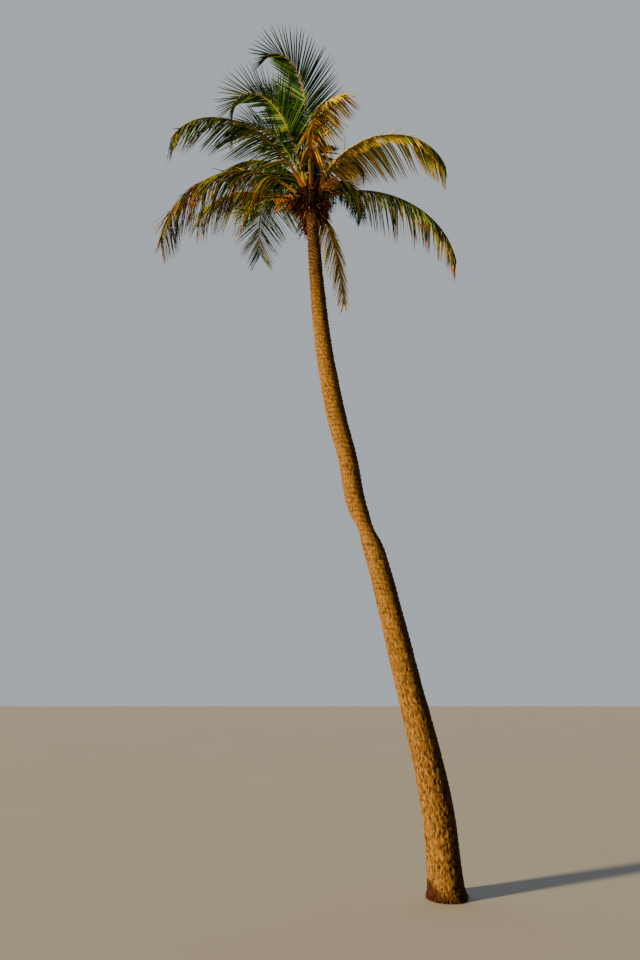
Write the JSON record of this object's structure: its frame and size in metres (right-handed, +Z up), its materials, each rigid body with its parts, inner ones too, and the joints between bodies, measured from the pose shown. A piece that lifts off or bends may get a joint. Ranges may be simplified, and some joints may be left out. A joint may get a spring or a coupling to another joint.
{
  "type": "coconut palm",
  "caption": "Slender coconut palm with a curved, leaning, ringed trunk, a narrow waist low on the trunk and a full crown of arching feather fronds.",
  "frame": {"origin": "middle of the trunk's flat cut at ground level", "axes": "+Z up, +X to the right of the pictured view (the trunk leans toward -X), +Y away from the viewer"},
  "size_m": [4.276, 3.4974, 10.6327],
  "materials": {
    "bark": "rough, weathered golden-brown with ring scars",
    "fibre": "dry brown leaf-base fibre",
    "leaf": "leathery yellow-green with dry orange tips",
    "young_leaf": "smooth pale yellow-green",
    "stalk": "dry orange-brown flower stalks and small nuts"
  },
  "bodies": {
    "root": {"bunch_back_left": "stalk", "bunch_back_right": "stalk", "bunch_left": "stalk", "bunch_left_low": "stalk", "bunch_right": "stalk", "bunch_right_low": "stalk", "crown_heart": "fibre", "frond_01_inner": "young_leaf", "frond_01_outer": "young_leaf", "frond_02_inner": "leaf", "frond_02_outer": "leaf", "frond_03_inner": "leaf", "frond_03_outer": "leaf", "frond_04_inner": "leaf", "frond_04_outer": "leaf", "frond_05_inner": "leaf", "frond_05_outer": "leaf", "frond_06_inner": "leaf", "frond_06_outer": "leaf", "frond_07_inner": "leaf", "frond_07_outer": "leaf", "frond_08_inner": "leaf", "frond_08_outer": "leaf", "frond_09_inner": "leaf", "frond_09_outer": "leaf", "frond_10": "leaf", "frond_11_inner": "young_leaf", "frond_11_outer": "young_leaf", "frond_12": "young_leaf", "frond_13": "leaf", "frond_14_inner": "leaf", "frond_14_outer": "leaf", "frond_15": "young_leaf", "frond_16_inner": "leaf", "frond_16_outer": "leaf", "frond_17_inner": "young_leaf", "frond_17_outer": "young_leaf", "frond_18": "leaf", "spear_leaf": "young_leaf", "trunk": "bark"}
  },
  "joints": []
}
